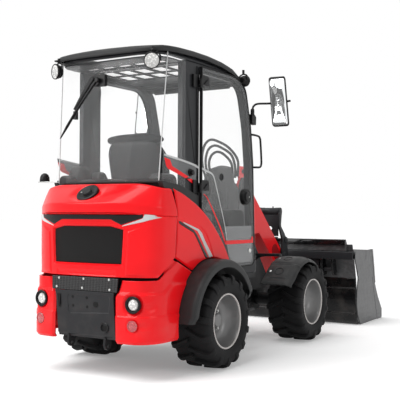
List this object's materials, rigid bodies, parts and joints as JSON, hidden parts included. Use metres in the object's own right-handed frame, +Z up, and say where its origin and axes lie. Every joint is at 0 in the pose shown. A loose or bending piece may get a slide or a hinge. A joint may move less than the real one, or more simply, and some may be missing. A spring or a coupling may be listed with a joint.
{
  "type": "articulated wheel loader",
  "caption": "Compact articulated wheel loader with an enclosed cab, a rear engine hood, a single lift arm and an earth bucket.",
  "frame": {"origin": "centre of the ground contact plane under the machine's bounding box", "axes": "+X forward towards the bucket, +Y to the driver's left, +Z up"},
  "size_m": [4.255, 1.47, 2.302],
  "materials": {
    "red_paint": "gloss",
    "charcoal_paint": "satin",
    "cast_steel": "matte",
    "black_plastic": "matte",
    "clear_glass": "gloss",
    "grey_rim_paint": "satin",
    "tyre_rubber": "matte",
    "cylinder_paint": "gloss",
    "chrome_rod": "gloss",
    "lamp_plastic": "gloss",
    "seat_fabric": "matte"
  },
  "bodies": {
    "rear_frame": {"rear_chassis": "charcoal_paint", "engine_block": "cast_steel", "rear_axle": "cast_steel", "counterweights": "red_paint", "rear_plate": "charcoal_paint", "tow_eyes": "cast_steel", "tail_lamps": "lamp_plastic", "side_panels": "red_paint", "rear_fenders": "black_plastic", "cab_steps": "charcoal_paint", "cab_tub": "black_plastic", "cab_frame": "charcoal_paint", "cab_roof": "black_plastic", "rear_window": "clear_glass", "quarter_windows": "clear_glass", "windscreen": "clear_glass", "seat_base": "black_plastic", "seat_cushion": "seat_fabric", "seat_back": "seat_fabric", "steering_column": "black_plastic", "mirrors": "black_plastic", "work_lamps": "lamp_plastic"},
    "hood_body": {"hood": "red_paint"},
    "door_left": {"door_frame_left": "charcoal_paint", "door_glass_left": "clear_glass"},
    "door_right": {"door_frame_right": "charcoal_paint", "door_glass_right": "clear_glass"},
    "steering": {"steering_wheel": "black_plastic"},
    "front_body": {"front_frame": "charcoal_paint", "front_axle": "cast_steel", "front_fenders": "black_plastic"},
    "arm_body": {"lift_arm": "red_paint"},
    "lift_barrel": {"lift_cylinder_barrel": "cylinder_paint"},
    "lift_rod": {"lift_cylinder_rod": "chrome_rod"},
    "tilt_barrel": {"tilt_cylinder_barrel": "cylinder_paint"},
    "tilt_rod": {"tilt_cylinder_rod": "chrome_rod"},
    "lever_body": {"tilt_lever": "charcoal_paint"},
    "link_body": {"tilt_link": "charcoal_paint"},
    "coupler_body": {"quick_coupler": "charcoal_paint", "bucket": "charcoal_paint"},
    "wheel_rear_left": {"tyre_rear_left": "tyre_rubber", "rim_rear_left": "grey_rim_paint"},
    "wheel_rear_right": {"tyre_rear_right": "tyre_rubber", "rim_rear_right": "grey_rim_paint"},
    "wheel_front_left": {"tyre_front_left": "tyre_rubber", "rim_front_left": "grey_rim_paint"},
    "wheel_front_right": {"tyre_front_right": "tyre_rubber", "rim_front_right": "grey_rim_paint"}
  },
  "joints": [
    {"name": "hood_lift", "type": "hinge", "parent": "rear_frame", "child": "hood_body", "pos_m": [-2.0405, 0, 0.686], "axis": [0, -1, 0], "range_deg": [0, 50]},
    {"name": "door_left_swing", "type": "hinge", "parent": "rear_frame", "child": "door_left", "pos_m": [-1.3585, 0.5, 1.67], "axis": [0, 0, 1], "range_deg": [0, 90]},
    {"name": "door_right_swing", "type": "hinge", "parent": "rear_frame", "child": "door_right", "pos_m": [-1.3585, -0.5, 1.67], "axis": [0, 0, -1], "range_deg": [0, 90]},
    {"name": "steering_turn", "type": "hinge", "parent": "rear_frame", "child": "steering", "pos_m": [-0.7425, 0, 1.21], "axis": [-0.4226, 0, 0.9063], "range_deg": [-540, 540]},
    {"name": "articulation", "type": "hinge", "parent": "rear_frame", "child": "front_body", "pos_m": [-0.4775, 0, 0.385], "axis": [0, 0, 1], "range_deg": [-40, 40]},
    {"name": "wheel_rear_left_spin", "type": "hinge", "parent": "rear_frame", "child": "wheel_rear_left", "pos_m": [-1.2425, 0.52, 0.344], "axis": [0, 1, 0], "continuous": true},
    {"name": "wheel_rear_right_spin", "type": "hinge", "parent": "rear_frame", "child": "wheel_rear_right", "pos_m": [-1.2425, -0.52, 0.344], "axis": [0, 1, 0], "continuous": true},
    {"name": "wheel_front_left_spin", "type": "hinge", "parent": "front_body", "child": "wheel_front_left", "pos_m": [0.2875, 0.52, 0.344], "axis": [0, 1, 0], "continuous": true},
    {"name": "wheel_front_right_spin", "type": "hinge", "parent": "front_body", "child": "wheel_front_right", "pos_m": [0.2875, -0.52, 0.344], "axis": [0, 1, 0], "continuous": true},
    {"name": "boom_lift", "type": "hinge", "parent": "front_body", "child": "arm_body", "pos_m": [0.0275, 0, 1.365], "axis": [0, -1, 0], "range_deg": [0, 80]},
    {"name": "lift_barrel_swing", "type": "hinge", "parent": "front_body", "child": "lift_barrel", "pos_m": [-0.1925, 0, 0.4], "axis": [0, -1, 0], "range_deg": [-0.2, 2.68]},
    {"name": "lift_rod_slide", "type": "slide", "parent": "lift_barrel", "child": "lift_rod", "axis": [0.5784, 0, 0.8157], "range_m": [0, 0.554]},
    {"name": "bucket_tilt", "type": "hinge", "parent": "arm_body", "child": "coupler_body", "pos_m": [1.1975, 0, 0.3], "axis": [0, 1, 0], "range_deg": [-35, 110]},
    {"name": "lever_swing", "type": "hinge", "parent": "arm_body", "child": "lever_body", "pos_m": [0.95727, 0, 0.52948], "axis": [0, 1, 0], "range_deg": [-15.99, 49.8]},
    {"name": "link_swing", "type": "hinge", "parent": "lever_body", "child": "link_body", "pos_m": [0.8785, 0, 0.86], "axis": [0, 1, 0], "range_deg": [-36.55, 11.77]},
    {"name": "tilt_barrel_swing", "type": "hinge", "parent": "arm_body", "child": "tilt_barrel", "pos_m": [0.25537, 0, 1.11025], "axis": [0, 1, 0], "range_deg": [-9.46, 3.15]},
    {"name": "tilt_rod_slide", "type": "slide", "parent": "tilt_barrel", "child": "tilt_rod", "axis": [0.828, 0, -0.5607], "range_m": [-0.039, 0.12]}
  ],
  "couplings": [
    {"joint": "lift_barrel_swing", "follows": "boom_lift", "ratio": 0.0309},
    {"joint": "lift_rod_slide", "follows": "boom_lift", "m_per_rad": 0.396},
    {"joint": "lever_swing", "follows": "bucket_tilt", "ratio": 0.4509},
    {"joint": "link_swing", "follows": "bucket_tilt", "ratio": -0.3304},
    {"joint": "tilt_barrel_swing", "follows": "bucket_tilt", "ratio": -0.0841},
    {"joint": "tilt_rod_slide", "follows": "bucket_tilt", "m_per_rad": 0.0617}
  ]
}
